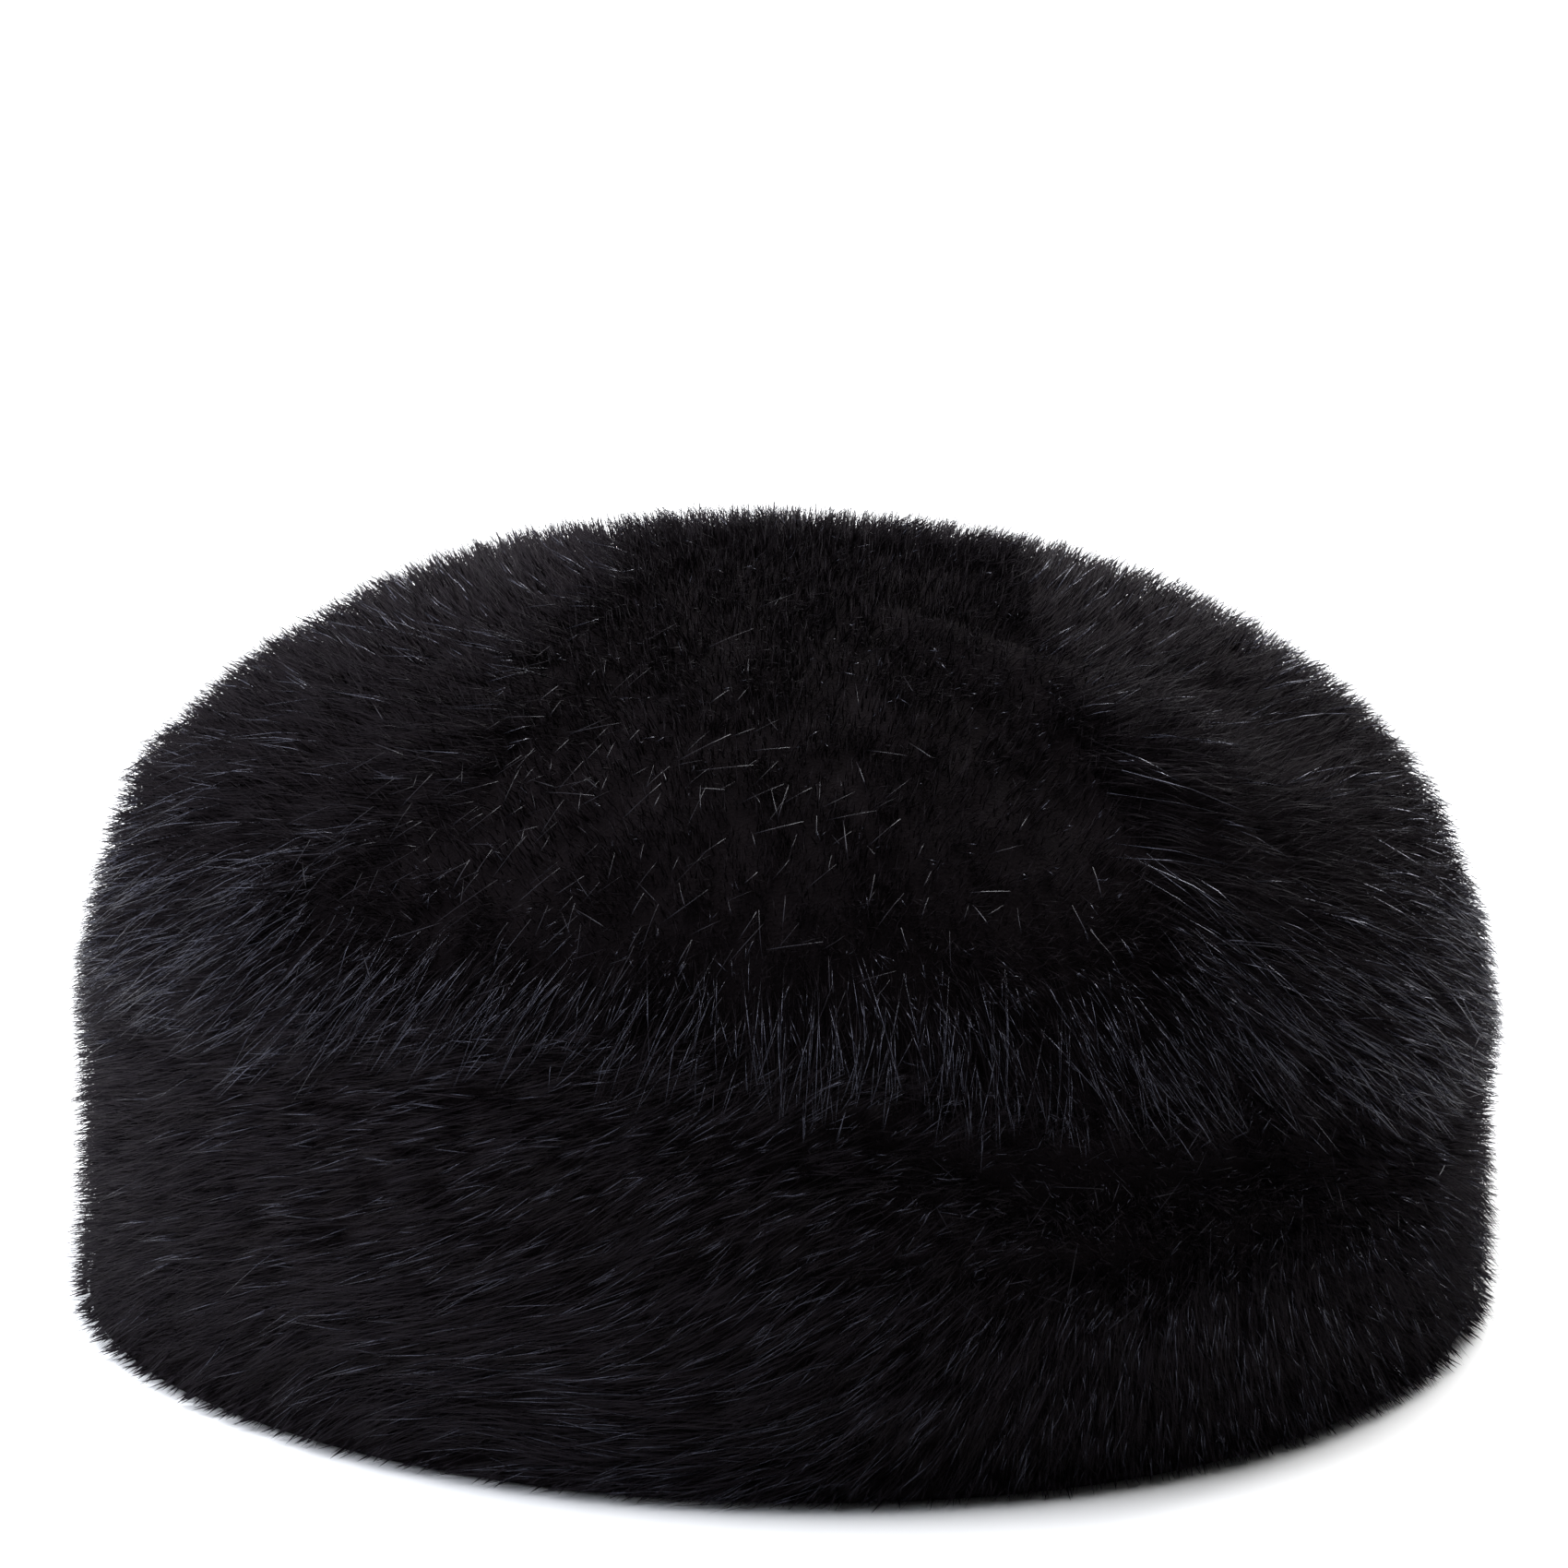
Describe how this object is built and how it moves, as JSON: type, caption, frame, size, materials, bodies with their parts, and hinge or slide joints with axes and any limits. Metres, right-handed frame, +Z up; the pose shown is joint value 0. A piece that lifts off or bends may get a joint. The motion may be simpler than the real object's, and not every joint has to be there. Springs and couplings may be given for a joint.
{
  "type": "faux fur beanie",
  "caption": "Round, deep hat of black long-pile faux fur: a domed crown hanging over an upright band, hollow for the head.",
  "frame": {"origin": "centre of the bounding box's underside, on the surface that the hat stands on", "axes": "+Z up, -Y the front that the picture shows, +X to the picture's right"},
  "size_m": [0.2517, 0.2724, 0.1306],
  "materials": {
    "fur": "black modacrylic long pile, dense dull underfur with glossy guard hairs",
    "backing": "black fine warp-knit backing cloth, matt"
  },
  "bodies": {
    "root": {"crown": "fur", "band": "fur"}
  },
  "joints": []
}
